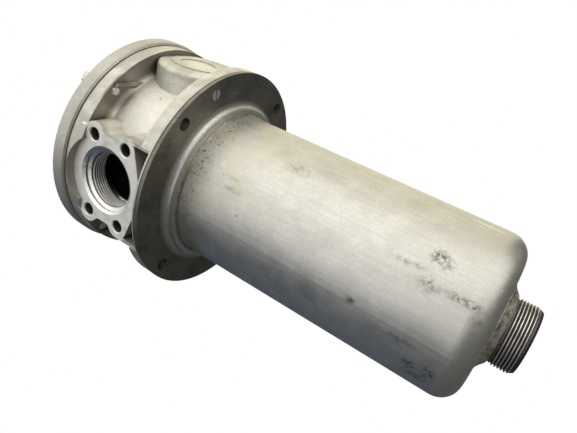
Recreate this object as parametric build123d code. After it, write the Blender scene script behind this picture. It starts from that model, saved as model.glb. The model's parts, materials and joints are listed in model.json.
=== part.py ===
from build123d import *
from math import acos, atan2, cos, degrees, pi, radians, sin
import os

# Tank-top return line filter. Millimetres.
# Z runs up through the bowl, head and lid; z = 0 is the face that seats on the tank.
# X runs out through the inlet port.

os.makedirs("parts", exist_ok=True)

# ---- stack of flanges ----
flange_r = 104.0          # head's lower flange
bowl_flange_t = 3.2
gasket_t = 1.0
head_z0 = bowl_flange_t + gasket_t
lower_flange_z1 = 15.0
upper_flange_r = 100.0
upper_flange_z0 = 78.2
head_z1 = 91.2
lid_r = 102.6
lid_z1 = 105.8
wall_r = 82.0             # outside of the head's round body
cavity_r = 72.0           # bore that the element lifts out through

# ---- inlet port and its blank twin ----
port_z = 51.0
port_face_x = 92.0
port_r = 38.3
port_inner_x = 65.0
spot_r = 39.6             # machined spot face round the port
pad_y = 34.95             # half of 69.9, SAE 1 1/2 inch four-bolt pattern
pad_z = 17.85             # half of 35.7
pad_r = 10.7
pad_hole_r = 5.1          # tapping drill for M12
pad_hole_depth = 24.0
web_t = 3.2
lip_t = 1.6               # what is left of the lower flange under the port
inlet_thread_r = 23.9     # G 1 1/2, root of the internal thread
inlet_lip_r = 22.4
inlet_counterbore_r = 26.8
inlet_mouth_r = 29.3
blank_face_y = 95.0
blank_z = 47.0
blank_r = 38.0
rib_y = 71.5
rib_t = 3.0

# ---- fastenings ----
tank_pcd = 186.4
tank_hole_r = 5.5
lid_bolt_pcd = 186.0
lid_bolt_r = 4.0
lid_hole_r = 4.5
lid_bolt_length = 30.0
washer_t = 1.6
hex_flats = 13.0
hex_height = 5.3
screw_pcd = 187.0
screw_angle = 69.0        # one here and one opposite
screw_r = 2.5
screw_head_r = 4.6
screw_length = 12.0

# ---- bowl and outlet ----
bowl_r = 67.7
bowl_wall = 1.5
bowl_z0 = -260.8
bowl_corner = 17.5
outlet_r = 26.87          # G 1 3/4 male thread over its crests
shank_r = 26.0            # nipple where it passes through the can
outlet_bore_r = 21.5
outlet_z0 = -286.4
outlet_top = -250.0
thread_top = -268.4

# ---- element ----
media_r0 = 31.0
media_r1 = 48.0
media_t = 1.1
pleats = 40
core_r0 = 28.0
core_r1 = 29.2
cap_r = 50.0
cap_rim = 8.0
cap_t = 2.0
bottom_cap_z = outlet_top
top_cap_z = 8.0           # upper face of the top cap
spigot_r = 20.9
spigot_z0 = -268.0

# ---- bypass valve ----
seat_r = 16.0
poppet_r = 18.5
poppet_t = 2.4
stem_r = 3.0
guide_r = 3.05
valve_travel = 6.0
cage_r = 21.5
cage_depth = 34.0
cage_t = 1.6


def tube(r_out, r_in, z0, z1):
    """Plain ring between two heights."""
    with BuildPart() as p:
        with BuildSketch(Plane.XY.offset(z0)):
            Circle(r_out)
            Circle(r_in, mode=Mode.SUBTRACT)
        extrude(amount=z1 - z0)
    return p.part


def rod(x, y, r, z0, z1):
    """Upright cylinder at a place."""
    return Pos(x, y, (z0 + z1) / 2) * Cylinder(r, z1 - z0)


def lathe(points):
    """Solid of revolution about Z from (radius, height) corners."""
    with BuildPart() as p:
        with BuildSketch(Plane.XZ):
            with BuildLine():
                Polyline(*points, close=True)
            make_face()
        revolve(axis=Axis.Z)
    return p.part


def around(pcd, first_angle, count=4):
    """Centres on a bolt circle."""
    step = 360 / count
    places = []
    for i in range(count):
        a = radians(first_angle + i * step)
        places.append((pcd / 2 * cos(a), pcd / 2 * sin(a)))
    return places


def drill(solid, places, r, z0, z1):
    """Takes one round hole out of a solid at each place."""
    for x, y in places:
        solid = solid - rod(x, y, r, z0, z1)
    return solid


tank_places = around(tank_pcd, 45)
lid_places = around(lid_bolt_pcd, 45)
screw_places = around(screw_pcd, screw_angle, 2)


# ------------------------------------------------------------ head casting
def head_body():
    """Round body with its two flanges, blended where they meet."""
    with BuildPart() as p:
        with BuildSketch(Plane.XZ):
            with BuildLine():
                Polyline(
                    (cavity_r, head_z0),
                    (flange_r, head_z0),
                    (flange_r, lower_flange_z1),
                    (wall_r + 1.5, lower_flange_z1),
                    (wall_r, upper_flange_z0),
                    (upper_flange_r, upper_flange_z0),
                    (upper_flange_r, head_z1),
                    (cavity_r, head_z1),
                    close=True,
                )
            face = make_face()
            corners = face.vertices()
            roots = [v for v in corners if cavity_r + 2 < v.X < wall_r + 2]
            fillet(roots, 5.0)
            rims = [v for v in corners if v.X > upper_flange_r - 1]
            fillet([v for v in rims if abs(v.Y - upper_flange_z0) < 0.1], 3.0)
            fillet([v for v in rims if abs(v.Y - lower_flange_z1) < 0.1], 1.2)
        revolve(axis=Axis.Z)
    return p.part


def pad_outline():
    """Port face: a disc, four bolt lobes, and straight flanks under the lower two."""
    with BuildSketch() as s:
        Circle(port_r)
        with Locations((pad_y, pad_z), (-pad_y, pad_z), (pad_y, -pad_z), (-pad_y, -pad_z)):
            Circle(pad_r)
        waist = [v for v in s.vertices() if abs(v.X) > pad_y - 6 and abs(v.Y) < pad_z]
        fillet(waist, 6.0)
        # the tangent line from each lower lobe to the foot of the disc
        span = (pad_y ** 2 + pad_z ** 2) ** 0.5
        turn = acos((port_r - pad_r) / span)
        tilt = atan2(-pad_z, pad_y) - turn
        nx = cos(tilt)
        ny = sin(tilt)
        for side in (1, -1):
            with BuildLine():
                Polyline(
                    (0, 0),
                    (side * pad_y, -pad_z),
                    (side * (pad_y + pad_r * nx), -pad_z + pad_r * ny),
                    (side * port_r * nx, port_r * ny),
                    close=True,
                )
            make_face()
    return s.sketch


def port_boss():
    """Inlet boss: the face outline carried back into the body."""
    plane = Plane(origin=(port_face_x, 0, port_z), x_dir=(0, 1, 0), z_dir=(1, 0, 0))
    disc_and_lobes = extrude(plane * pad_outline(), amount=-(port_face_x - 70.0))
    webs = []
    # thin webs close the windows between the lower lobes and the flange
    web_y = pad_y + pad_r - web_t / 2
    web_z1 = port_z - pad_z
    web_z0 = head_z0
    for side in (1, -1):
        web = Box(port_face_x - 70.0, web_t, web_z1 - web_z0)
        place = Pos((port_face_x + 70.0) / 2, side * web_y, (web_z1 + web_z0) / 2)
        webs.append(place * web)
    inner = Pos((port_inner_x + 75) / 2, 0, port_z) * Rot(0, 90, 0) * Cylinder(29.0, 75 - port_inner_x)
    return disc_and_lobes, webs, inner


def blank_boss():
    """Second port position, left as cast: rounded edge and a low centre ring."""
    plane = Plane(origin=(0, 70.0, blank_z), x_dir=(1, 0, 0), z_dir=(0, 1, 0))
    depth = blank_face_y - 70.0
    with BuildPart() as p:
        with BuildSketch(plane):
            Circle(blank_r)
        extrude(amount=depth)
        rim = p.faces().sort_by(Axis.Y)[-1].edges()
        fillet(rim, 4.5)
        with BuildSketch(plane.offset(depth)):
            with Locations((0, blank_z - port_z)):
                Circle(24.0)
                Circle(15.5, mode=Mode.SUBTRACT)
        extrude(amount=0.7)
    return p.part


def under_port_pocket(boss):
    """Hollow under the inlet boss: it leaves only a lip of the lower flange."""
    z0 = head_z0 + lip_t
    half = pad_y + pad_r - web_t
    hollow = Pos(98, 0, (z0 + port_z) / 2) * Box(29, 2 * half, port_z - z0)
    front = Pos(port_face_x + 10, 0, (z0 + port_z) / 2) * Box(20, 2 * (half + web_t), port_z - z0)
    return (hollow - boss) + front


def make_head():
    head = head_body()
    disc_and_lobes, webs, inner = port_boss()
    head = head + disc_and_lobes + webs
    head = head - under_port_pocket(disc_and_lobes)
    head = head + blank_boss()
    # stiffening ribs under the upper flange, one beside each lid bolt
    for sx in (1, -1):
        for sy in (1, -1):
            rib = Pos(sx * 54, sy * rib_y, upper_flange_z0 - 1.0) * Box(36, rib_t, 4.0)
            head = head + (rib & rod(0, 0, upper_flange_r - 2.0, 0, 100))
    head = head & tube(flange_r + 0.001, 1.0, head_z0 - 1, head_z1 + 1)
    # inside: the element bore, then the port's flat inner collar
    head = head - rod(0, 0, cavity_r, head_z0 - 1, head_z1 + 1)
    head = head + (inner - (rod(0, 0, 64.0, 0, 100)))
    # spot face that levels both flanges round the port
    spot = Pos(port_face_x + 15, 0, port_z) * Rot(0, 90, 0) * Cylinder(spot_r, 30)
    head = head - spot
    # port bore from its mouth inwards: mouth cone, counterbore, thread, relief, lip
    face = port_face_x
    profile = [
        (0, face + 1),
        (inlet_mouth_r + 0.8, face + 1),
        (inlet_mouth_r, face),
        (inlet_counterbore_r, face - 1.6),
        (inlet_counterbore_r, face - 3.6),
        (inlet_thread_r, face - 5.0),
        (inlet_thread_r, face - 20.0),
        (inlet_thread_r + 0.9, face - 20.6),
        (inlet_thread_r + 0.9, face - 23.2),
        (inlet_lip_r, face - 23.2),
        (inlet_lip_r, port_inner_x - 8),
        (0, port_inner_x - 8),
    ]
    bore = Pos(0, 0, port_z) * Rot(0, 90, 0) * lathe(profile)
    head = head - bore
    # tapped pad holes with countersunk mouths
    for sy in (1, -1):
        for sz in (1, -1):
            place = Pos(0, sy * pad_y, port_z + sz * pad_z) * Rot(0, 90, 0)
            hole = lathe([
                (0, face + 1),
                (pad_hole_r + 2.1, face + 1),
                (pad_hole_r, face - 1.1),
                (pad_hole_r, face - pad_hole_depth),
                (0, face - pad_hole_depth - 2.9),
            ])
            head = head - place * hole
    # groove for the lid's seal
    head = head - tube(80.0, 76.0, head_z1 - 2.8, head_z1 + 1)
    head = drill(head, tank_places, tank_hole_r, head_z0 - 1, lower_flange_z1 + 8)
    head = drill(head, screw_places, screw_r, head_z0 - 1, head_z0 + 9.0)
    head = drill(head, lid_places, lid_bolt_r, upper_flange_z0 - 6, head_z1 + 1)
    return head


# ------------------------------------------------------------ lid and its fastenings
def make_lid():
    lid = lathe([
        (0, head_z1 + 5.0),
        (66.0, head_z1 + 5.0),
        (66.0, head_z1 - 5.0),
        (71.8, head_z1 - 5.0),
        (71.8, head_z1),
        (97.2, head_z1),
        (97.2, head_z1 + 1.1),
        (lid_r - 2.2, head_z1 + 1.1),
        (lid_r - 0.5, head_z1 + 2.4),
        (lid_r, head_z1 + 4.2),
        (lid_r, lid_z1 - 1.2),
        (lid_r - 1.2, lid_z1),
        (80.0, lid_z1),
        (77.0, lid_z1 - 3.0),
        (24.0, lid_z1 - 3.0),
        (22.0, lid_z1),
        (0, lid_z1),
    ])
    # radial ribs across the dished top
    for i in range(4):
        rib = Pos(50, 0, lid_z1 - 2.0) * Box(60, 4.0, 3.0)
        lid = lid + Rot(0, 0, 45 + 90 * i) * rib
    # register that centres the hold-down spring
    lid = lid + tube(18.4, 15.4, head_z1 - 1.0, head_z1 + 6.0)
    return drill(lid, lid_places, lid_hole_r, head_z1 - 1, lid_z1 + 1)


def make_lid_bolt():
    """M8 hexagon head bolt, its tip just past the flange's underside."""
    top = lid_z1 + washer_t
    shank = rod(0, 0, lid_bolt_r, top - lid_bolt_length, top + 1)
    tip = shank.edges().sort_by(Axis.Z)[0]
    shank = chamfer(tip, 0.8)
    with BuildPart() as p:
        with BuildSketch(Plane.XY.offset(top)):
            RegularPolygon(hex_flats / 2, 6, major_radius=False)
        extrude(amount=hex_height)
    dome = Pos(0, 0, top) * lathe([(0, -1), (8.6, -1), (8.6, 3.9), (6.2, hex_height), (0, hex_height)])
    return shank + (p.part & dome)


def make_lid_o_ring():
    with BuildPart() as p:
        with BuildSketch(Plane.XZ):
            with Locations((78.0, head_z1 - 1.4)):
                RectangleRounded(3.4, 2.8, 1.2)
        revolve(axis=Axis.Z)
    return p.part


def make_screw():
    """M5 slotted countersunk screw, its head flush with the tank face."""
    body = lathe([
        (0, 0),
        (screw_head_r, 0),
        (screw_head_r, 0.3),
        (screw_r, 0.3 + screw_head_r - screw_r),
        (screw_r, screw_length - 0.6),
        (screw_r - 0.6, screw_length),
        (0, screw_length),
    ])
    return body - Box(2 * screw_head_r + 2, 1.2, 2.4)


def make_gasket():
    gasket = tube(flange_r - 0.9, cavity_r + 0.5, bowl_flange_t, head_z0)
    gasket = drill(gasket, tank_places, tank_hole_r, 0, 10)
    return drill(gasket, screw_places, screw_r, 0, 10)


# ------------------------------------------------------------ bowl and outlet
def make_bowl_flange():
    """Ring with a turned neck that the drawn can is brazed into."""
    neck_r = 73.2
    neck_z = -6.8
    with BuildPart() as p:
        with BuildSketch(Plane.XZ):
            with BuildLine():
                Polyline(
                    (bowl_r, bowl_flange_t),
                    (flange_r + 0.2, bowl_flange_t),
                    (flange_r + 0.2, 0),
                    (neck_r, 0),
                    (neck_r, neck_z),
                    (bowl_r + 1.2, neck_z - 0.6),
                    (bowl_r, neck_z - 2.0),
                    close=True,
                )
            corners = make_face().vertices()
            fillet([v for v in corners if abs(v.X - neck_r) < 0.01 and abs(v.Y) < 0.01], 5.0)
            fillet([v for v in corners if abs(v.X - neck_r) < 0.01 and v.Y < -1], 1.5)
        revolve(axis=Axis.Z)
    ring = drill(p.part, tank_places, tank_hole_r, -1, 10)
    for x, y in screw_places:
        sink = lathe([
            (0, -1),
            (screw_head_r, -1),
            (screw_head_r, 0.3),
            (screw_r, 0.3 + screw_head_r - screw_r),
            (screw_r, 5),
            (0, 5),
        ])
        ring = ring - Pos(x, y, 0) * sink
    return ring


def make_bowl_can():
    """Deep-drawn can, open at the top, with a hole for the outlet."""
    with BuildPart() as p:
        Cylinder(bowl_r, bowl_flange_t - bowl_z0, align=(Align.CENTER, Align.CENTER, Align.MIN))
        fillet(p.edges().sort_by(Axis.Z)[0], bowl_corner)
        top = p.faces().sort_by(Axis.Z)[-1]
        offset(amount=-bowl_wall, openings=top)
    can = Pos(0, 0, bowl_z0) * p.part
    return can - rod(0, 0, shank_r, bowl_z0 - 1, bowl_z0 + 4)


def make_outlet_weld():
    return lathe([
        (shank_r, bowl_z0),
        (36.5, bowl_z0),
        (35.6, bowl_z0 - 1.4),
        (33.2, bowl_z0 - 2.2),
        (30.2, bowl_z0 - 4.4),
        (28.0, bowl_z0 - 6.4),
        (shank_r, bowl_z0 - 7.1),
    ])


def make_outlet_nipple():
    return lathe([
        (outlet_bore_r, outlet_top),
        (shank_r, outlet_top),
        (shank_r, thread_top),
        (outlet_r, thread_top),
        (outlet_r, outlet_z0 + 2.2),
        (24.4, outlet_z0),
        (outlet_bore_r + 0.8, outlet_z0),
        (outlet_bore_r, outlet_z0 + 0.8),
    ])


# ------------------------------------------------------------ filter element
def make_bottom_cap():
    """Pressed cup with a spigot that plugs into the outlet."""
    z = bottom_cap_z
    return lathe([
        (spigot_r - 3.4, z + cap_t),
        (cap_r - cap_t, z + cap_t),
        (cap_r - cap_t, z + cap_rim),
        (cap_r, z + cap_rim),
        (cap_r, z + 0.6),
        (cap_r - 0.6, z),
        (spigot_r, z),
        (spigot_r, z - 9.0),
        (spigot_r - 2.2, z - 9.0),
        (spigot_r - 2.2, z - 13.0),
        (spigot_r, z - 13.0),
        (spigot_r, spigot_z0 + 1.0),
        (spigot_r - 1.0, spigot_z0),
        (spigot_r - 3.4, spigot_z0),
    ])


def make_element_o_ring():
    z = bottom_cap_z - 11.0
    with BuildPart() as p:
        with BuildSketch(Plane.XZ):
            with Locations(((spigot_r - 2.2 + outlet_bore_r) / 2, z)):
                RectangleRounded(outlet_bore_r - spigot_r + 2.2, 3.6, 1.2)
        revolve(axis=Axis.Z)
    return p.part


def make_top_cap():
    """Pressed cap; its central hole is the bypass valve's seat."""
    z = top_cap_z
    cap = lathe([
        (seat_r, z),
        (cap_r - 0.6, z),
        (cap_r, z - 0.6),
        (cap_r, z - cap_rim),
        (cap_r - cap_t, z - cap_rim),
        (cap_r - cap_t, z - cap_t),
        (seat_r + 1.2, z - cap_t),
        (seat_r + 0.6, z - cap_t - 1.2),
        (seat_r, z - cap_t - 1.2),
    ])
    # raised ring that keeps the hold-down spring in the middle
    return cap + tube(25.0, 23.4, z, z + 2.0)


def make_media():
    """Star-folded filter medium between its two caps."""
    outer = []
    inner = []
    step = 2 * pi / pleats
    for i in range(pleats):
        peak = i * step
        half_out = media_t / 2 / media_r1 * 1.3
        half_in = media_t / 2 / media_r0 * 1.3
        outer.append((media_r1 * cos(peak - half_out), media_r1 * sin(peak - half_out)))
        outer.append((media_r1 * cos(peak + half_out), media_r1 * sin(peak + half_out)))
        root = peak + step / 2
        r = media_r0 + media_t
        outer.append((r * cos(root), r * sin(root)))
        r = media_r1 - media_t * 2.2
        inner.append((r * cos(peak), r * sin(peak)))
        inner.append((media_r0 * cos(root - half_in), media_r0 * sin(root - half_in)))
        inner.append((media_r0 * cos(root + half_in), media_r0 * sin(root + half_in)))
    z0 = bottom_cap_z + cap_t
    z1 = top_cap_z - cap_t
    with BuildPart() as p:
        with BuildSketch(Plane.XY.offset(z0)):
            with BuildLine():
                Polyline(*outer, close=True)
            make_face()
            with BuildLine():
                Polyline(*inner, close=True)
            make_face(mode=Mode.SUBTRACT)
        extrude(amount=z1 - z0)
    return p.part


def make_core():
    """Perforated tube that keeps the pleats from collapsing inwards."""
    z0 = bottom_cap_z + cap_t
    z1 = top_cap_z - cap_t
    core = tube(core_r1, core_r0, z0, z1)
    rows = 9
    pitch = (z1 - z0) / rows
    for row in range(rows):
        z = z0 + pitch * (row + 0.5)
        for i in range(4):
            turn = 45 * i + 22.5 * (row % 2)
            core = core - Pos(0, 0, z) * Rot(0, 0, turn) * Rot(0, 90, 0) * Cylinder(4.0, 80)
    return core


# ------------------------------------------------------------ bypass valve
def make_poppet():
    """Mushroom valve that closes the cap's seat from below."""
    z = top_cap_z - cap_t - 1.2
    foot = z - cage_depth - 4.0
    return lathe([
        (0, z),
        (poppet_r, z),
        (poppet_r, z - poppet_t + 0.5),
        (poppet_r - 0.5, z - poppet_t),
        (stem_r + 2.0, z - poppet_t),
        (stem_r, z - poppet_t - 2.0),
        (stem_r, foot + 0.8),
        (stem_r - 0.8, foot),
        (0, foot),
    ])


def make_cage():
    """Cup with four windows, hung under the top cap; it guides the stem."""
    z1 = top_cap_z - cap_t
    z0 = z1 - cage_depth
    cage = lathe([
        (guide_r, z0),
        (cage_r - 1.5, z0),
        (cage_r, z0 + 1.5),
        (cage_r, z1 - 1.4),
        (cage_r + 4.0, z1 - 1.4),
        (cage_r + 4.0, z1),
        (cage_r - cage_t, z1),
        (cage_r - cage_t, z0 + cage_t),
        (guide_r + 2.4, z0 + cage_t),
        (guide_r + 2.4, z0 + 5.0),
        (guide_r, z0 + 5.0),
    ])
    height = cage_depth - 13.0
    for i in range(4):
        slot = Pos(cage_r, 0, z0 + 5.0 + height / 2) * Box(10, 20, height)
        cage = cage - Rot(0, 0, 45 + 90 * i) * slot
    return cage


def coil_spring(r_mid_top, r_mid_bottom, wire, z0, z1, turns):
    """Open coil spring with its ends cut square to their seats."""
    height = z1 - z0 - wire
    cone = degrees(atan2(r_mid_top - r_mid_bottom, height))
    path = Helix(
        pitch=height / turns,
        height=height,
        radius=r_mid_bottom,
        center=(0, 0, z0 + wire / 2),
        cone_angle=cone,
    )
    with BuildPart() as p:
        with BuildLine():
            add(path)
        with BuildSketch(Plane(origin=path @ 0, z_dir=path % 0)):
            Circle(wire / 2)
        sweep()
    return p.part


# ------------------------------------------------------------ write one file per piece
washer = tube(8.0, 4.2, lid_z1, lid_z1 + washer_t)
valve_z = top_cap_z - cap_t - 1.2 - poppet_t
cage_floor = top_cap_z - cap_t - cage_depth + cage_t
group = {
    "head": make_head(),
    "lid": make_lid(),
    "lid_o_ring": make_lid_o_ring(),
    "lid_bolts": Compound([Pos(x, y, 0) * make_lid_bolt() for x, y in lid_places]),
    "lid_washers": Compound([Pos(x, y, 0) * washer for x, y in lid_places]),
    "bowl_gasket": make_gasket(),
    "bowl_flange": make_bowl_flange(),
    "bowl_screws": Compound([
        Pos(x, y, 0) * Rot(0, 0, 80 + 30 * i) * make_screw()
        for i, (x, y) in enumerate(screw_places)
    ]),
    "bowl_can": make_bowl_can(),
    "outlet_weld": make_outlet_weld(),
    "outlet_nipple": make_outlet_nipple(),
    "element_bottom_cap": make_bottom_cap(),
    "element_o_ring": make_element_o_ring(),
    "element_top_cap": make_top_cap(),
    "pleated_media": make_media(),
    "core_tube": make_core(),
    "bypass_poppet": make_poppet(),
    "bypass_cage": make_cage(),
    "bypass_spring": coil_spring(10.0, 10.0, 2.0, cage_floor, valve_z, 5),
    "hold_down_spring": coil_spring(13.0, 21.5, 3.0, top_cap_z + 0.3, head_z1 + 4.7, 5),
}
for name, solid in group.items():
    solid.label = name
    export_step(solid, "parts/" + name + ".step")
    print(name, round(solid.volume))
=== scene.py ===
import bpy
import json
from math import cos, floor, pi, sin, tau
from mathutils import Matrix, Vector


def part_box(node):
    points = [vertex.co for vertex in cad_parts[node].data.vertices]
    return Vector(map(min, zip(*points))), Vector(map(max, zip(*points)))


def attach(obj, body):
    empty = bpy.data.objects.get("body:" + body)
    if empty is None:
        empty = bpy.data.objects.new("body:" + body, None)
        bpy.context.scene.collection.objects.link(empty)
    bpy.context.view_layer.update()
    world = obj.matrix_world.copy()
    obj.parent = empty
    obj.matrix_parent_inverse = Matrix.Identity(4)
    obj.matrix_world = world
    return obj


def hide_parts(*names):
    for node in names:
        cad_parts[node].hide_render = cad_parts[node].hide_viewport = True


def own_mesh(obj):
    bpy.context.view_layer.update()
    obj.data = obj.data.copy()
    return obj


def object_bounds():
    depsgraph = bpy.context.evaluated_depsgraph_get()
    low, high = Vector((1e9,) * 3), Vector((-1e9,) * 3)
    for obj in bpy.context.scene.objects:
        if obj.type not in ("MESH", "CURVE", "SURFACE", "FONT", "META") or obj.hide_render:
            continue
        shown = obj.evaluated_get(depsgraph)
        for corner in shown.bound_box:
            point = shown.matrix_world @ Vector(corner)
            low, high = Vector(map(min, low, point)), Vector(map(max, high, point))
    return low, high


# Looks of the return line filter. Metres; Z runs up through bowl, head and lid, X out of the inlet.
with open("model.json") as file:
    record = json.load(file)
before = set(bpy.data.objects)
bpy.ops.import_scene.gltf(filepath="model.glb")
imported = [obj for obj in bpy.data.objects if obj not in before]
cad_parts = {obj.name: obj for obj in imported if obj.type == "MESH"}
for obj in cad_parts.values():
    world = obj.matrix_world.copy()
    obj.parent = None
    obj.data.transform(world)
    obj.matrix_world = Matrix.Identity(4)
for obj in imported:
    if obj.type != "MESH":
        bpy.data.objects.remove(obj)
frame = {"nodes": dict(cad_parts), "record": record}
cad_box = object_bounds()
MM = 0.001

nipple_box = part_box("outlet_nipple")
mounts = {m["name"]: m for m in frame["record"]["mounts"]}
port = Vector(mounts["inlet_face"]["pos_m"])
port_axis_z = mounts["inlet_thread"]["pos_m"][2]
inlet_root = mounts["inlet_thread"]["dims"]["r_mm"] * MM
inlet_length = mounts["inlet_thread"]["dims"]["length_mm"] * MM
outlet_crest = mounts["outlet_thread"]["dims"]["r_mm"] * MM
pad_y = mounts["inlet_pads"]["dims"]["spacing_x_mm"] / 2 * MM
pad_z = mounts["inlet_pads"]["dims"]["spacing_y_mm"] / 2 * MM
pad_hole_r = mounts["inlet_pads"]["dims"]["hole_r_mm"] * MM
tank_hole_r = mounts["tank_bolts"]["dims"]["hole_r_mm"] * MM
tank_reach = mounts["tank_bolts"]["dims"]["pcd_mm"] / 2 * MM * cos(pi / 4)
tank_hole = (tank_reach, tank_reach, 0)
lid_washer_r = 8.0 * MM
lid_bolt_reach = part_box("lid_washers")[1][0] - lid_washer_r
bsp_pitch = 25.4 / 11 * MM          # both ports have eleven turns to the inch
bsp_depth = 0.64 * bsp_pitch
steps_per_turn = 12
thread_around = 144

# where the finishes of the head and its painted shade change
port_face_reach = 52 * MM           # from the port's axis, the edge of its turned face
port_bore_reach = 29.6 * MM         # from the port's axis, the edge of its turned bore
port_bore_end_x = 64 * MM
pad_hole_end_x = 60 * MM
pad_thread_pitch = 1.75 * MM
tank_hole_top = 20 * MM
rim_rub_r = 93 * MM
head_inside_r = 73 * MM
under_flange_z = 70 * MM
bolt_recess_reach = 17 * MM
bolt_recess_low = 69 * MM
bolt_recess_high = 80.5 * MM
wave_turns = 3.18                   # bands of a wave texture in one unit at scale 1


# ------------------------------------------------------------ material tools
class Shader:
    """A material and short calls to add and join its nodes."""

    def __init__(self, name, metallic, roughness):
        self.mat = bpy.data.materials.new(name)
        self.mat.use_nodes = True
        self.tree = self.mat.node_tree
        self.bsdf = self.tree.nodes["Principled BSDF"]
        self.bsdf.inputs["Metallic"].default_value = metallic
        self.bsdf.inputs["Roughness"].default_value = roughness
        self.coord = self.node("ShaderNodeTexCoord").outputs["Object"]

    def node(self, kind, **settings):
        made = self.tree.nodes.new(kind)
        for key, value in settings.items():
            setattr(made, key, value)
        return made

    def join(self, source, target):
        self.tree.links.new(source, target)

    def stretched(self, scale):
        """Object coordinates scaled along each axis."""
        made = self.node("ShaderNodeMapping")
        made.inputs["Scale"].default_value = scale
        self.join(self.coord, made.inputs["Vector"])
        return made.outputs["Vector"]

    def noise(self, size, detail=4.0, rough=0.55, where=None):
        """Cloudy noise whose grains are about size metres across."""
        made = self.node("ShaderNodeTexNoise")
        made.inputs["Scale"].default_value = 1.0 / size
        made.inputs["Detail"].default_value = detail
        made.inputs["Roughness"].default_value = rough
        self.join(where or self.coord, made.inputs["Vector"])
        return made.outputs["Fac"]

    def ramp(self, value, low, high):
        """Maps low..high onto 0..1 and clips the rest."""
        made = self.node("ShaderNodeMapRange")
        made.inputs["From Min"].default_value = low
        made.inputs["From Max"].default_value = high
        self.join(value, made.inputs["Value"])
        return made.outputs["Result"]

    def math(self, operation, a, b):
        made = self.node("ShaderNodeMath", operation=operation)
        for value, socket in ((a, made.inputs[0]), (b, made.inputs[1])):
            if isinstance(value, (int, float)):
                socket.default_value = value
            else:
                self.join(value, socket)
        return made.outputs[0]

    def mix(self, factor, a, b):
        """Blend of two colours, each a colour or a socket."""
        made = self.node("ShaderNodeMix", data_type="RGBA")
        self.join(factor, made.inputs["Factor"])
        for value, name in ((a, 6), (b, 7)):
            if isinstance(value, tuple):
                made.inputs[name].default_value = (*value, 1.0)
            else:
                self.join(value, made.inputs[name])
        return made.outputs[2]

    def tint(self, colour, where, strength, tone):
        """The colour with tone laid over it where the mask is 1, at the given strength."""
        return self.mix(self.math("MULTIPLY", where, strength), colour, tone)

    def mix_value(self, factor, a, b):
        """Blend of two numbers, each a number or a socket."""
        made = self.node("ShaderNodeMix", data_type="FLOAT")
        self.join(factor, made.inputs["Factor"])
        for value, socket in ((a, made.inputs[2]), (b, made.inputs[3])):
            if isinstance(value, (int, float)):
                socket.default_value = value
            else:
                self.join(value, socket)
        return made.outputs[0]

    def combined(self, value, scale):
        """A vector whose X is value times scale, for noise that varies with it alone."""
        made = self.node("ShaderNodeCombineXYZ")
        self.join(self.math("MULTIPLY", value, scale), made.inputs["X"])
        return made.outputs[0]

    def bump(self, height, strength, distance, under=None):
        made = self.node("ShaderNodeBump")
        made.inputs["Strength"].default_value = strength
        made.inputs["Distance"].default_value = distance
        self.join(height, made.inputs["Height"])
        if under is not None:
            self.join(under, made.inputs["Normal"])
        return made.outputs["Normal"]

    def axis(self, name):
        made = self.node("ShaderNodeSeparateXYZ")
        self.join(self.coord, made.inputs[0])
        return made.outputs[name]

    def finish(self, colour=None, roughness=None, normal=None, metallic=None):
        if colour is not None:
            self.join(colour, self.bsdf.inputs["Base Color"])
        if roughness is not None:
            self.join(roughness, self.bsdf.inputs["Roughness"])
        if normal is not None:
            self.join(normal, self.bsdf.inputs["Normal"])
        if metallic is not None:
            self.join(metallic, self.bsdf.inputs["Metallic"])
        return self.mat

    def radius(self, centre=(0, 0, 0), keep=(1, 1, 0), where=None):
        """Distance from an axis through centre; keep is 0 along that axis."""
        shift = self.node("ShaderNodeVectorMath", operation="SUBTRACT")
        self.join(where or self.coord, shift.inputs[0])
        shift.inputs[1].default_value = centre
        flat = self.node("ShaderNodeVectorMath", operation="MULTIPLY")
        self.join(shift.outputs[0], flat.inputs[0])
        flat.inputs[1].default_value = keep
        length = self.node("ShaderNodeVectorMath", operation="LENGTH")
        self.join(flat.outputs[0], length.inputs[0])
        return length.outputs["Value"]

    def patch(self, centre, reach):
        """A broken smudge about centre, fading out at half sizes reach."""
        keep = tuple(1 / r for r in reach)
        near = self.ramp(self.radius(centre, keep), 1.3, 0.35)
        broken = self.ramp(self.noise(0.0030, 6.0, 0.8), 0.44, 0.58)
        return self.math("MULTIPLY", near, broken)

    def inside_holes(self, centre, keep, hole):
        """1 inside the holes of radius hole that mirror one at centre about the axes."""
        origin = (0, 0, port_axis_z) if keep[0] == 0 else (0, 0, 0)
        shift = self.node("ShaderNodeVectorMath", operation="SUBTRACT")
        self.join(self.coord, shift.inputs[0])
        shift.inputs[1].default_value = origin
        folded = self.node("ShaderNodeVectorMath", operation="ABSOLUTE")
        self.join(shift.outputs[0], folded.inputs[0])
        away = self.radius(centre, keep, folded.outputs[0])
        return self.ramp(away, hole + 0.0003, hole + 0.0001)

    def facing_down(self):
        """1 on faces that look down the bowl, whatever the bumps."""
        geometry = self.node("ShaderNodeNewGeometry")
        split = self.node("ShaderNodeSeparateXYZ")
        self.join(geometry.outputs["True Normal"], split.inputs[0])
        return self.ramp(split.outputs["Z"], -0.35, -0.85)

    def patch_at_bolts(self):
        """1 in the recesses under the upper flange where the lid bolts end: a mask for painted
        shade.
        """
        folded = self.node("ShaderNodeVectorMath", operation="ABSOLUTE")
        self.join(self.coord, folded.inputs[0])
        away = self.radius((lid_bolt_reach, lid_bolt_reach, 0), (1, 1, 0), folded.outputs[0])
        near = self.ramp(away, bolt_recess_reach, bolt_recess_reach - 6 * MM)
        low = self.ramp(self.axis("Z"), bolt_recess_low, bolt_recess_low + 5 * MM)
        high = self.ramp(self.axis("Z"), bolt_recess_high, bolt_recess_high - 0.5 * MM)
        return self.math("MULTIPLY", near, self.math("MULTIPLY", low, high))

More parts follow.
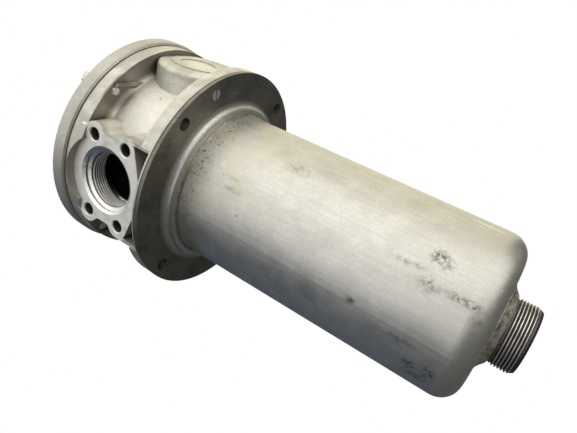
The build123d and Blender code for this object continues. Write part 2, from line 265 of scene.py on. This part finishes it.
    def shade_and_dirt_mask(self, reach, low, high):
        """1 well inside corners and holes, 0 in the open: a mask for painted shade and dirt there.
        """
        corner = self.node("ShaderNodeAmbientOcclusion", samples=8)
        corner.inputs["Distance"].default_value = reach
        return self.ramp(corner.outputs["AO"], high, low)


def cast_metal(name, light, dark, grain, is_head=False):
    """Sand-cast aluminium: soft mottling, a fine grain, painted shade and dirt in the corners, a
    few dark pits.
    The head also has its turned port, painted shade and dirt in its drilled holes, painted shade
    under its upper flange and round its lid bolt ends, and painted shade inside."""
    s = Shader(name, 0.80, 0.5)
    broad = s.ramp(s.noise(0.030, 5.0), 0.35, 0.68)
    fine = s.noise(grain, 6.0, 0.7)
    colour = s.mix(broad, dark, light)
    colour = s.mix(s.ramp(fine, 0.62, 0.36), colour, tuple(c * 0.80 for c in dark))
    speck = s.ramp(s.noise(0.0035, 2.0), 0.71, 0.76)
    colour = s.mix(speck, colour, (0.30, 0.28, 0.25))
    rough = s.math("ADD", s.math("MULTIPLY", fine, 0.22), 0.36)
    coarse = s.bump(s.noise(0.004, 3.0), 0.55, 0.0007)
    normal = s.bump(fine, 0.7, 0.0004, coarse)
    # Painted shade, with some dirt, in wide hollows such as under the flanges.
    wide = s.math("MULTIPLY", s.shade_and_dirt_mask(0.026, 0.35, 0.90), 0.60)
    colour = s.mix(wide, colour, (0.30, 0.28, 0.24))
    smear = s.ramp(s.noise(0.014, 6.0, 0.75), 0.54, 0.70)
    colour = s.tint(colour, smear, 0.30, (0.40, 0.38, 0.33))
    # Painted shade, with some dirt, well inside corners and holes, nearly black.
    deep = s.math("MULTIPLY", s.shade_and_dirt_mask(0.008, 0.25, 0.62), 0.90)
    colour = s.mix(deep, colour, (0.075, 0.060, 0.045))
    if not is_head:
        return s.finish(colour, rough, normal)
    x = s.axis("X")
    rim = s.ramp(s.radius(), rim_rub_r, rim_rub_r + 5 * MM)
    handled = s.math("MULTIPLY", rim, s.ramp(s.noise(0.018, 5.0), 0.25, 0.55))
    colour = s.tint(colour, handled, 0.75, (0.36, 0.345, 0.305))
    around_port = s.radius((0, 0, port_axis_z), (0, 1, 1))
    rings = s.noise(1.0, 2.0, 0.6, s.combined(around_port, 1700.0))
    face = s.ramp(x, port.x - 0.75 * MM, port.x - 0.55 * MM)
    face = s.math("MULTIPLY", face, s.ramp(x, port.x + 0.20 * MM, port.x + 0.10 * MM))
    face = s.math("MULTIPLY", face, s.ramp(around_port, port_face_reach, port_face_reach - 1 * MM))
    stain = s.ramp(s.noise(0.010, 5.0), 0.50, 0.66)
    cut = s.mix(rings, (0.70, 0.69, 0.65), (0.90, 0.89, 0.85))
    cut = s.tint(cut, stain, 0.45, (0.42, 0.41, 0.38))
    colour = s.mix(face, colour, cut)
    bore = s.ramp(around_port, port_bore_reach, port_bore_reach - 0.2 * MM)
    bore = s.math("MULTIPLY", bore, s.ramp(x, port_bore_end_x, port_bore_end_x + 0.5 * MM))
    colour = s.mix(bore, colour, s.mix(rings, (0.68, 0.68, 0.65), (0.92, 0.91, 0.88)))
    metallic = s.mix_value(bore, s.mix_value(face, 0.80, 0.30), 0.95)
    rough = s.mix_value(face, rough, 0.34)
    rough = s.mix_value(bore, rough, 0.20)
    turned = s.math("MAXIMUM", face, bore)
    normal = s.bump(s.math("MULTIPLY", rings, turned), 0.25, 0.0002, normal)
    pads = s.inside_holes((0, pad_y, pad_z), (0, 1, 1), pad_hole_r)
    pads = s.math("MULTIPLY", pads, s.ramp(x, port.x - 0.5 * MM, port.x - 1.2 * MM))
    pads = s.math("MULTIPLY", pads, s.ramp(x, pad_hole_end_x, pad_hole_end_x + 2 * MM))
    turns = s.node("ShaderNodeTexWave", bands_direction="X", wave_profile="SIN")
    turns.inputs["Scale"].default_value = 1 / pad_thread_pitch / wave_turns
    s.join(s.coord, turns.inputs["Vector"])
    # Painted shade and dirt inside the tapped pad holes, in bands along their thread.
    shade_and_dirt_bands = s.mix(turns.outputs["Fac"], (0.055, 0.045, 0.035), (0.26, 0.235, 0.20))
    colour = s.mix(pads, colour, shade_and_dirt_bands)
    # Painted shade and dirt inside the tank bolt holes.
    tank = s.inside_holes(tank_hole, (1, 1, 0), tank_hole_r)
    tank = s.math("MULTIPLY", tank, s.ramp(s.axis("Z"), tank_hole_top, tank_hole_top - 2 * MM))
    colour = s.mix(tank, colour, (0.060, 0.045, 0.030))
    # Painted shade in the recesses round the lid bolt ends.
    bolt_recess_shade = s.patch_at_bolts()
    colour = s.tint(colour, bolt_recess_shade, 0.70, (0.115, 0.100, 0.078))
    # Painted shade on the down-facing undersides of the upper flange.
    high_up = s.ramp(s.axis("Z"), under_flange_z, under_flange_z + 4 * MM)
    under = s.math("MULTIPLY", s.facing_down(), high_up)
    colour = s.tint(colour, under, 0.62, (0.21, 0.195, 0.160))
    # Painted shade inside the head, nearly black.
    within = s.ramp(s.radius(), head_inside_r, head_inside_r - 0.5 * MM)
    colour = s.mix(within, colour, (0.035, 0.033, 0.028))
    return s.finish(colour, rough, normal, metallic)


def machined_metal(name, light, dark, metallic, rough):
    """Machined metal: fine bands that change along X, with scuffs and handling marks."""
    s = Shader(name, metallic, rough)
    lines = s.noise(1.0, 3.0, 0.6, s.stretched((1 / 0.0006, 12, 12)))
    clouds = s.ramp(s.noise(0.045, 5.0), 0.32, 0.70)
    colour = s.mix(clouds, dark, light)
    rub = s.ramp(s.noise(1.0, 5.0, 0.7, s.stretched((60, 60, 26))), 0.60, 0.74)
    colour = s.tint(colour, rub, 0.5, tuple(c * 0.55 for c in dark))
    level = s.math("ADD", s.math("MULTIPLY", lines, 0.16), rough - 0.08)
    level = s.math("ADD", level, s.math("MULTIPLY", clouds, 0.14))
    return s.finish(colour, level, s.bump(lines, 0.12, 0.0002))


def threaded_metal(name, crest, root, r_root, r_crest, centre, keep):
    """Cut thread: crests bright with wear and a painted highlight, over dark roots with painted
    shade.
    """
    s = Shader(name, 0.85, 0.32)
    lift = s.ramp(s.radius(centre, keep), r_root, r_crest)
    crest_wear_and_highlight = s.mix(s.ramp(s.noise(0.006, 4.0), 0.35, 0.65), tuple(c * 0.75 for c in crest), crest)
    colour = s.mix(lift, root, crest_wear_and_highlight)
    # Painted shade and dirt in the thread's hollows.
    colour = s.tint(colour, s.shade_and_dirt_mask(0.003, 0.2, 0.8), 0.6, tuple(c * 0.3 for c in root))
    level = s.math("SUBTRACT", 0.46, s.math("MULTIPLY", lift, 0.16))
    return s.finish(colour, level, s.bump(s.noise(0.0008), 0.15, 0.0002))


# scuffs on the can: centre, half sizes and darkness of each
can_scuffs = (
    ((0.0446, 0.0509, -0.2112), (0.007, 0.007, 0.006), 0.90),
    ((0.0462, 0.0494, -0.2175), (0.005, 0.005, 0.006), 0.60),
    ((0.0572, 0.0361, -0.2385), (0.003, 0.003, 0.016), 0.85),
    ((0.0610, 0.0290, -0.2520), (0.003, 0.003, 0.008), 0.60),
    ((0.0578, 0.0353, -0.2131), (0.004, 0.008, 0.008), 0.65),
    ((0.0535, 0.0415, -0.1975), (0.002, 0.003, 0.014), 0.45),
    ((0.0637, -0.0231, -0.2230), (0.003, 0.007, 0.006), 0.95),
    ((0.0643, -0.0212, -0.2370), (0.004, 0.007, 0.006), 0.95),
    ((0.0600, -0.0310, -0.2300), (0.005, 0.005, 0.012), 0.75),
    ((0.0677, 0.0016, -0.1709), (0.002, 0.0035, 0.005), 0.80),
    ((0.0674, -0.0067, -0.2125), (0.002, 0.0030, 0.016), 0.60),
    ((0.0658, 0.0159, -0.0640), (0.002, 0.0016, 0.0016), 1.00),
    ((0.0560, 0.0380, -0.0450), (0.002, 0.0015, 0.009), 0.70),
    ((0.0600, 0.0310, -0.0520), (0.002, 0.0020, 0.010), 0.60),
    ((0.0330, 0.0591, -0.0900), (0.005, 0.004, 0.012), 0.45),
)


def can_metal_shader(name):
    """Drawn can: short faint streaks, a mottled haze, scuffs, and tarnish and pits by the neck."""
    s = Shader(name, 0.88, 0.42)
    z = s.axis("Z")
    lines = s.noise(1.0, 5.0, 0.65, s.stretched((420, 420, 26)))
    weave = s.noise(1.0, 3.0, 0.6, s.stretched((60, 60, 600)))
    haze = s.noise(0.020, 7.0, 0.70)
    grain = s.noise(0.0010, 4.0, 0.75)
    colour = s.mix(s.ramp(haze, 0.36, 0.64), (0.475, 0.465, 0.435), (0.60, 0.59, 0.555))
    colour = s.tint(colour, s.ramp(lines, 0.56, 0.36), 0.28, (0.38, 0.37, 0.345))
    colour = s.tint(colour, s.ramp(lines, 0.60, 0.74), 0.40, (0.74, 0.73, 0.69))
    colour = s.tint(colour, s.ramp(grain, 0.56, 0.34), 0.50, (0.33, 0.32, 0.30))
    low_end = s.math("MULTIPLY", s.ramp(z, -0.185, -0.262), s.ramp(haze, 0.30, 0.62))
    colour = s.tint(colour, low_end, 0.35, (0.30, 0.29, 0.27))
    rub = s.ramp(s.noise(1.0, 5.0, 0.75, s.stretched((70, 70, 34))), 0.62, 0.74)
    colour = s.tint(colour, rub, 0.45, (0.24, 0.23, 0.21))
    scratch = s.ramp(s.noise(1.0, 2.0, 0.5, s.stretched((150, 150, 10))), 0.735, 0.76)
    colour = s.tint(colour, scratch, 0.6, (0.80, 0.79, 0.75))
    for centre, reach, dark in can_scuffs:
        mark = s.math("MULTIPLY", s.patch(centre, reach), dark)
        colour = s.mix(mark, colour, (0.060, 0.057, 0.052))
    by_neck = s.ramp(z, -0.034, -0.012)
    tarnish = s.ramp(s.noise(0.026, 6.0, 0.7), 0.46, 0.60)
    tarnish = s.math("MULTIPLY", s.ramp(z, -0.105, -0.030), tarnish)
    colour = s.tint(colour, tarnish, 0.55, (0.50, 0.47, 0.34))
    pits = s.ramp(s.noise(0.0026, 4.0, 0.7), 0.565, 0.62)
    colour = s.tint(colour, s.math("MULTIPLY", by_neck, pits), 0.85, (0.085, 0.060, 0.040))
    # Painted shade and dirt in the can's corners, by the flange and the weld.
    colour = s.tint(colour, s.shade_and_dirt_mask(0.010, 0.30, 0.85), 0.75, (0.16, 0.13, 0.095))
    level = s.math("ADD", s.math("MULTIPLY", haze, 0.22), 0.26)
    level = s.math("ADD", level, s.math("MULTIPLY", grain, 0.14))
    fine = s.bump(lines, 0.16, 0.0002)
    return s.finish(colour, level, s.bump(weave, 0.10, 0.0002, fine))


def bowl_flange_shader(name):
    """Dull dark steel, the darkness partly painted shade, rubbed bright round the drawn neck with a
    painted sheen and glints on its crest, rust and painted shadow in its corner, painted shade in
    its holes.
    """
    s = Shader(name, 0.88, 0.42)
    r = s.radius()
    clouds = s.noise(0.030, 6.0, 0.7)
    # Dark base colour, partly painted shade for the dark surroundings the flange reflects.
    colour = s.mix(s.ramp(clouds, 0.34, 0.66), (0.115, 0.110, 0.096), (0.215, 0.206, 0.180))
    smear = s.ramp(s.noise(1.0, 5.0, 0.7, s.stretched((34, 90, 34))), 0.58, 0.72)
    colour = s.tint(colour, smear, 0.55, (0.36, 0.35, 0.315))
    brown = s.ramp(s.noise(0.012, 5.0, 0.75), 0.60, 0.72)
    colour = s.tint(colour, brown, 0.45, (0.115, 0.090, 0.065))
    # The neck is paler steel with a painted sheen on its crest; the near-white flecks are painted
    # glints.
    bright = s.ramp(s.math("ADD", r, s.math("MULTIPLY", clouds, 0.006)), 0.0835, 0.0775)
    colour = s.tint(colour, bright, 0.90, (0.56, 0.55, 0.51))
    crest_glints = s.math("MULTIPLY", bright, s.ramp(s.noise(0.0022, 4.0, 0.7), 0.60, 0.66))
    colour = s.mix(crest_glints, colour, (0.88, 0.87, 0.83))
    # Painted shadow and rust in the corner where the neck meets the can.
    joint_shadow_and_rust = s.ramp(s.math("ADD", r, s.math("MULTIPLY", s.noise(0.004, 4.0), 0.004)), 0.0722, 0.0702)
    colour = s.tint(colour, joint_shadow_and_rust, 0.80, (0.13, 0.105, 0.075))
    # Painted shade and dirt in the screw holes and corners.
    hole = s.shade_and_dirt_mask(0.006, 0.30, 0.70)
    colour = s.tint(colour, hole, 0.8, (0.05, 0.04, 0.03))
    level = s.math("ADD", s.math("MULTIPLY", clouds, 0.22), 0.30)
    return s.finish(colour, level, s.bump(s.noise(0.0012, 4.0), 0.25, 0.0002))


def weld_shader(name):
    """Rough brownish weld collar with lumps and soot."""
    s = Shader(name, 0.65, 0.5)
    lumps = s.noise(0.0035, 5.0, 0.7)
    colour = s.mix(s.ramp(lumps, 0.35, 0.65), (0.17, 0.155, 0.125), (0.52, 0.49, 0.42))
    soot = s.ramp(s.noise(0.009, 4.0), 0.56, 0.66)
    colour = s.tint(colour, soot, 0.6, (0.07, 0.065, 0.055))
    level = s.math("ADD", s.math("MULTIPLY", lumps, 0.30), 0.32)
    return s.finish(colour, level, s.bump(lumps, 0.8, 0.0010))


def plain_metal(name, colour, metallic, rough):
    """Smooth plated or drawn metal, a little cloudy."""
    grain = 0.002
    s = Shader(name, metallic, rough)
    cloud = s.noise(grain * 6)
    shade = tuple(c * 0.72 for c in colour)
    mixed = s.mix(s.ramp(cloud, 0.3, 0.7), shade, colour)
    level = s.math("ADD", s.math("MULTIPLY", s.noise(grain), 0.2), rough - 0.1)
    return s.finish(mixed, level, s.bump(s.noise(grain), 0.15, 0.0002))


def soft_material(name, colour, rough, grain):
    """Rubber, sheet or fibre with a fine grain."""
    s = Shader(name, 0.0, rough)
    shade = tuple(c * 0.6 for c in colour)
    mixed = s.mix(s.ramp(s.noise(grain * 4), 0.35, 0.65), shade, colour)
    level = s.math("ADD", s.math("MULTIPLY", s.noise(grain), 0.2), rough - 0.1)
    return s.finish(mixed, level, s.bump(s.noise(grain), 0.3, 0.0003))


# ------------------------------------------------------------ mesh tools
def mesh_piece(name, verts, faces, material):
    data = bpy.data.meshes.new(name)
    data.from_pydata(verts, [], faces)
    data.update()
    for face in data.polygons:
        face.use_smooth = True
    piece = bpy.data.objects.new(name, data)
    bpy.context.scene.collection.objects.link(piece)
    data.materials.append(material)
    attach(piece, "housing")
    return piece


def revolve_grid(rows, around, closed=True):
    """Faces of a grid of rings: rows rings of around points, the last joined to the first."""
    faces = []
    last = rows if closed else rows - 1
    for i in range(last):
        for j in range(around):
            a = i * around + j
            b = i * around + (j + 1) % around
            c = ((i + 1) % rows) * around + (j + 1) % around
            d = ((i + 1) % rows) * around + j
            faces.append((a, b, c, d))
    return faces


def ridge(phase):
    """Whitworth form across one pitch: 0 at the root, 1 at the rounded crest."""
    saw = 1 - abs(2 * (phase - floor(phase)) - 1)
    saw = min(max((saw - 0.17) / 0.66, 0.0), 1.0)
    return saw * saw * (3 - 2 * saw)


def screw_rings(z_from, z_to, radius, depth):
    """Rings of (r, angle, z) along a threaded wall, fading out over a turn at both ends.
    The depth is negative for a bore."""
    count = max(2, round(abs(z_to - z_from) / bsp_pitch * steps_per_turn))
    rings = []
    for i in range(count + 1):
        z = z_from + (z_to - z_from) * i / count
        edge = min(abs(z - z_from) / bsp_pitch, abs(z_to - z) / bsp_pitch, 1.0)
        ring = []
        for j in range(thread_around):
            angle = tau * j / thread_around
            lift = ridge(z / bsp_pitch - angle / tau) * edge
            ring.append((radius + depth * lift, angle, z))
        rings.append(ring)
    return rings


def plain_ring(radius, z):
    return [(radius, tau * j / thread_around, z) for j in range(thread_around)]


# ------------------------------------------------------------ threads
def outlet_nipple(material):
    """The nipple with its male thread cut, standing for the plain CAD tube."""
    low = nipple_box[0][2]
    high = nipple_box[1][2]
    bore = outlet_crest - 5.37 * MM
    shank = outlet_crest - 0.87 * MM
    end_r = 24.4 * MM
    chamfer = 0.8 * MM
    root = outlet_crest - bsp_depth
    thread_low = low + 1.6 * MM
    thread_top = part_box("outlet_weld")[0][2] - 0.5 * MM
    rings = [plain_ring(bore, high), plain_ring(shank, high)]
    rings.append(plain_ring(shank, thread_top + 0.3 * MM))
    rings += screw_rings(thread_top, thread_low, root, bsp_depth)
    rings.append(plain_ring(end_r, low))
    rings.append(plain_ring(bore + chamfer, low))
    rings.append(plain_ring(bore, low + chamfer))
    verts = [(r * cos(a), r * sin(a), z) for ring in rings for r, a, z in ring]
    faces = revolve_grid(len(rings), thread_around)
    piece = mesh_piece("outlet_nipple_thread", verts, faces, material)
    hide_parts("outlet_nipple")


def inlet_thread(material):
    """Female thread: a thin threaded sleeve lining the port's bore."""
    start = mounts["inlet_thread"]["pos_m"][0]
    x_out = start + inlet_length / 2
    x_in = start - inlet_length / 2
    wall = inlet_root + 0.05 * MM
    rings = screw_rings(x_out, x_in, inlet_root - 0.02 * MM, -bsp_depth)
    rings.append(plain_ring(wall, x_in))
    rings.append(plain_ring(wall, x_out))
    verts = [(x, r * cos(a), port_axis_z + r * sin(a)) for ring in rings for r, a, x in ring]
    faces = revolve_grid(len(rings), thread_around)
    piece = mesh_piece("inlet_thread", verts, faces, material)


# ------------------------------------------------------------ valve spring
def bypass_spring(material):
    """The valve's coil spring, a fixed coil filling the CAD spring's box. The real spring shortens
    against the cage floor as the valve opens.
    """
    low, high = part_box("bypass_spring")
    wire = 1.0 * MM
    coil = high[0] - wire
    turns = 5
    steps = 200
    around = 14
    z_first = low[2] + wire
    rise = (high[2] - low[2] - 2 * wire) / steps
    climb = rise * steps / (tau * turns)
    verts = []
    for i in range(steps + 1):
        angle = tau * turns * i / steps
        out = Vector((cos(angle), sin(angle), 0))
        along = Vector((-sin(angle) * coil, cos(angle) * coil, climb)).normalized()
        up = along.cross(out).normalized()
        centre = out * coil + Vector((0, 0, z_first + rise * i))
        for j in range(around):
            b = tau * j / around
            verts.append(tuple(centre + out * (wire * cos(b)) + up * (wire * sin(b))))
    faces = revolve_grid(steps + 1, around, closed=False)
    faces.append(tuple(range(around)))
    faces.append(tuple(steps * around + around - 1 - j for j in range(around)))
    piece = mesh_piece("bypass_spring_coil", verts, faces, material)
    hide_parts("bypass_spring")
    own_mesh(piece)


# ------------------------------------------------------------ dress every node
head_metal = cast_metal(
    "head_cast", (0.90, 0.88, 0.81), (0.72, 0.70, 0.635), 0.0009, is_head=True
)
lid_metal = cast_metal("lid_cast", (0.61, 0.595, 0.54), (0.41, 0.395, 0.355), 0.0008)
machined = machined_metal("machined_aluminium", (0.80, 0.79, 0.75), (0.66, 0.65, 0.61), 0.85, 0.28)
can_metal = can_metal_shader("drawn_can")
flange_metal = bowl_flange_shader("bowl_flange_steel")
nipple_metal = threaded_metal(
    "nipple_steel", (0.78, 0.76, 0.70), (0.050, 0.048, 0.045),
    outlet_crest - bsp_depth, outlet_crest, (0, 0, 0), (1, 1, 0)
)
inlet_metal = threaded_metal(
    "inlet_thread_metal", (0.95, 0.94, 0.90), (0.045, 0.042, 0.038),
    inlet_root, inlet_root - bsp_depth, (0, 0, port_axis_z), (0, 1, 1)
)
weld_metal = weld_shader("weld_bead")
zinc = plain_metal("zinc_plate", (0.68, 0.67, 0.63), 0.9, 0.32)
cap_sheet = plain_metal("tinned_sheet", (0.62, 0.62, 0.60), 0.9, 0.3)
spring_wire = plain_metal("spring_wire", (0.36, 0.36, 0.37), 0.9, 0.35)
nitrile = soft_material("nitrile_rubber", (0.025, 0.025, 0.025), 0.55, 0.0008)
gasket = soft_material("gasket_sheet", (0.075, 0.068, 0.055), 0.7, 0.0006)
fibre = soft_material("filter_fibre", (0.80, 0.77, 0.67), 0.85, 0.0005)

finishes = {
    "head": head_metal,
    "lid": lid_metal,
    "lid_o_ring": nitrile,
    "lid_bolts": zinc,
    "lid_washers": zinc,
    "bowl_gasket": gasket,
    "bowl_flange": flange_metal,
    "bowl_screws": zinc,
    "bowl_can": can_metal,
    "outlet_weld": weld_metal,
    "outlet_nipple": nipple_metal,
    "element_bottom_cap": cap_sheet,
    "element_o_ring": nitrile,
    "element_top_cap": cap_sheet,
    "pleated_media": fibre,
    "core_tube": cap_sheet,
    "bypass_poppet": machined,
    "bypass_cage": cap_sheet,
    "bypass_spring": spring_wire,
    "hold_down_spring": spring_wire,
}
for name, material in finishes.items():
    node = frame["nodes"][name]
    node.data.materials.clear()
    node.data.materials.append(material)

outlet_nipple(nipple_metal)
inlet_thread(inlet_metal)
bypass_spring(spring_wire)


# ------------------------------------------------------------ floor, light and camera
def area_light(name, place, target, size, power, colour):
    lamp = bpy.data.lights.new(name, "AREA")
    lamp.shape = "RECTANGLE"
    lamp.size = size[0]
    lamp.size_y = size[1]
    lamp.energy = power
    lamp.color = colour
    made = bpy.data.objects.new(name, lamp)
    made.location = place
    made.rotation_euler = (Vector(target) - Vector(place)).to_track_quat("-Z", "Y").to_euler()
    made.visible_camera = False
    bpy.context.scene.collection.objects.link(made)


def white_floor(drop):
    """Wide pale floor; the camera sees it at full white except where the object shades it."""
    z = cad_box[0][2] - drop
    half = 6.0
    data = bpy.data.meshes.new("floor")
    corners = [(-half, -half, z), (half, -half, z), (half, half, z), (-half, half, z)]
    data.from_pydata(corners, [], [(0, 1, 2, 3)])
    made = bpy.data.objects.new("floor", data)
    bpy.context.scene.collection.objects.link(made)
    s = Shader("floor_white", 0.0, 0.9)
    path = s.node("ShaderNodeLightPath")
    s.finish(s.mix(path.outputs["Is Camera Ray"], (0.10, 0.105, 0.115), (0.50, 0.50, 0.50)))
    glow = s.node("ShaderNodeEmission")
    glow.inputs["Color"].default_value = (1, 1, 1, 1)
    s.join(s.math("MULTIPLY", path.outputs["Is Camera Ray"], 0.65), glow.inputs["Strength"])
    both = s.node("ShaderNodeAddShader")
    s.join(s.bsdf.outputs[0], both.inputs[0])
    s.join(glow.outputs[0], both.inputs[1])
    s.join(both.outputs[0], s.tree.nodes["Material Output"].inputs["Surface"])
    data.materials.append(s.mat)


def world_light(shade, cool, warm, level):
    """Soft studio: dim from the -Y side, bright from +Y and warmer towards -X.
    The camera sees plain white."""
    world = bpy.data.worlds.new("studio")
    bpy.context.scene.world = world
    world.use_nodes = True
    tree = world.node_tree
    back = tree.nodes["Background"]
    coord = tree.nodes.new("ShaderNodeTexCoord")
    split = tree.nodes.new("ShaderNodeSeparateXYZ")
    tree.links.new(coord.outputs["Generated"], split.inputs[0])

    def rise(axis, low, high):
        made = tree.nodes.new("ShaderNodeMapRange")
        made.inputs["From Min"].default_value = low
        made.inputs["From Max"].default_value = high
        tree.links.new(split.outputs[axis], made.inputs["Value"])
        return made.outputs["Result"]

    def mix(factor, a, b):
        made = tree.nodes.new("ShaderNodeMix")
        made.data_type = "RGBA"
        tree.links.new(factor, made.inputs["Factor"])
        for value, socket in ((a, made.inputs[6]), (b, made.inputs[7])):
            if isinstance(value, tuple):
                socket.default_value = (*[c * level for c in value], 1)
            else:
                tree.links.new(value, socket)
        return made.outputs[2]

    bright = mix(rise("X", -0.9, 0.4), warm, cool)
    lit = mix(rise("Y", -0.56, 0.12), shade, bright)
    path = tree.nodes.new("ShaderNodeLightPath")
    white = tuple(1 / level for _ in range(3))
    tree.links.new(mix(path.outputs["Is Camera Ray"], lit, white), back.inputs["Color"])
    back.inputs["Strength"].default_value = 1.0


white_floor(1.1)
world_light((0.035, 0.050, 0.080), (1.0, 0.99, 0.95), (0.93, 0.875, 0.64), 1.38)
middle = (0.0, 0.0, -0.08)
area_light("key", (0.55, 1.35, 0.35), middle, (1.6, 1.4), 4.2, (1.0, 0.98, 0.92))
area_light("low_key", (0.15, 1.05, -1.00), middle, (1.9, 1.5), 15.0, (1.0, 0.98, 0.92))
area_light("front_fill", (1.3, 0.1, -0.1), middle, (1.0, 1.0), 0.9, (1.0, 0.99, 0.97))
area_light("side_fill", (0.1, -1.4, 0.1), middle, (1.2, 1.2), 0.15, (0.75, 0.88, 1.0))
area_light("top_fill", (-0.4, 0.0, 1.4), middle, (1.2, 1.2), 2.0, (1.0, 1.0, 1.0))

camera_at = Vector((0.35619, 0.19464, -0.24411))
camera_forward = Vector((-0.81118, -0.44158, 0.38340)).normalized()
camera_up = Vector((-0.26705, 0.86297, 0.42891)).normalized()
camera_data = bpy.data.cameras.new("camera")
camera_data.sensor_width = 36.0
camera_data.lens = 31.10
camera_data.clip_start = 0.01
camera = bpy.data.objects.new("camera", camera_data)
right = camera_forward.cross(camera_up)
turn = Matrix((right, camera_up, -camera_forward)).transposed()
camera.matrix_world = Matrix.Translation(camera_at) @ turn.to_4x4()
bpy.context.scene.collection.objects.link(camera)
bpy.context.scene.camera = camera
bpy.context.scene.view_settings.view_transform = "Standard"
